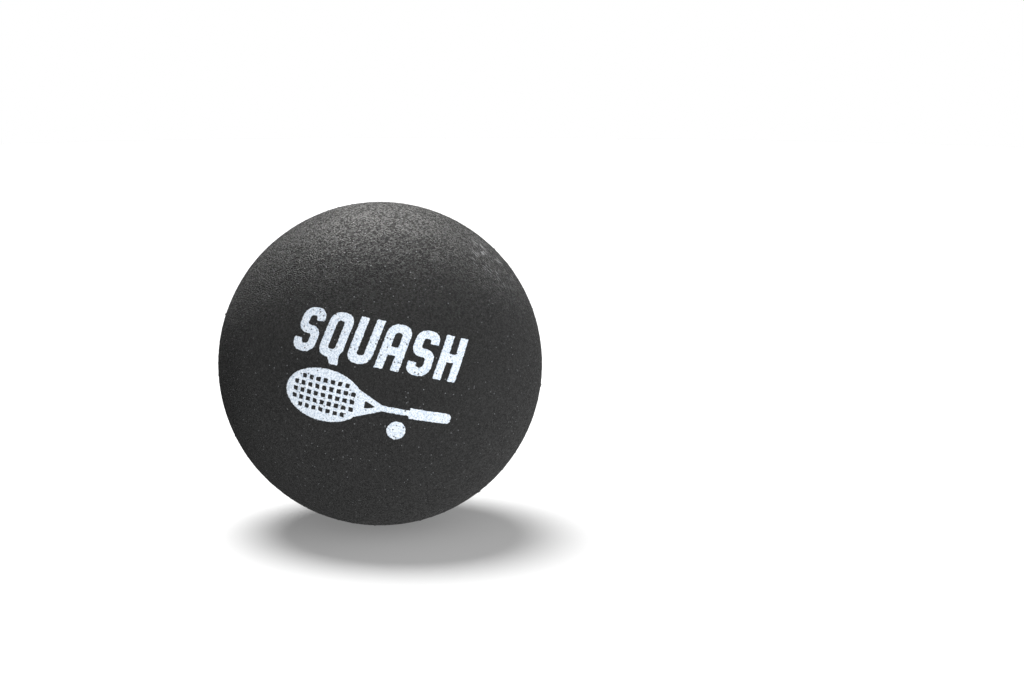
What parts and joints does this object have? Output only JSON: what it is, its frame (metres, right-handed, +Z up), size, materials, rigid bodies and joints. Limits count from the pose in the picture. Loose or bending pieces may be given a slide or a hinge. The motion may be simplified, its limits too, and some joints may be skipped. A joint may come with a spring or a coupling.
{
  "type": "squash ball",
  "caption": "Hollow black rubber squash ball of two cemented half shells, with a white printed mark and a blue speed dot opposite it.",
  "frame": {"origin": "centre of the ball, which stands on the plane z = -0.020", "axes": "+Z up as the ball lies at rest; Y along the axis both half shells are turned about, with the marked half on -Y and the dotted half on +Y; the seam lies in the XZ plane"},
  "size_m": [0.04, 0.0402, 0.04],
  "materials": {
    "black_rubber": "matte",
    "seam_cement": "matte",
    "white_ink": "matte",
    "blue_ink": "matte"
  },
  "bodies": {
    "root": {"marked_half_shell": "black_rubber", "dotted_half_shell": "black_rubber", "seam_bond": "seam_cement", "mark_letter_1": "white_ink", "mark_letter_2": "white_ink", "mark_letter_3": "white_ink", "mark_letter_4": "white_ink", "mark_letter_5": "white_ink", "mark_letter_6": "white_ink", "mark_racket": "white_ink", "mark_ball": "white_ink", "speed_dot": "blue_ink"}
  },
  "joints": []
}
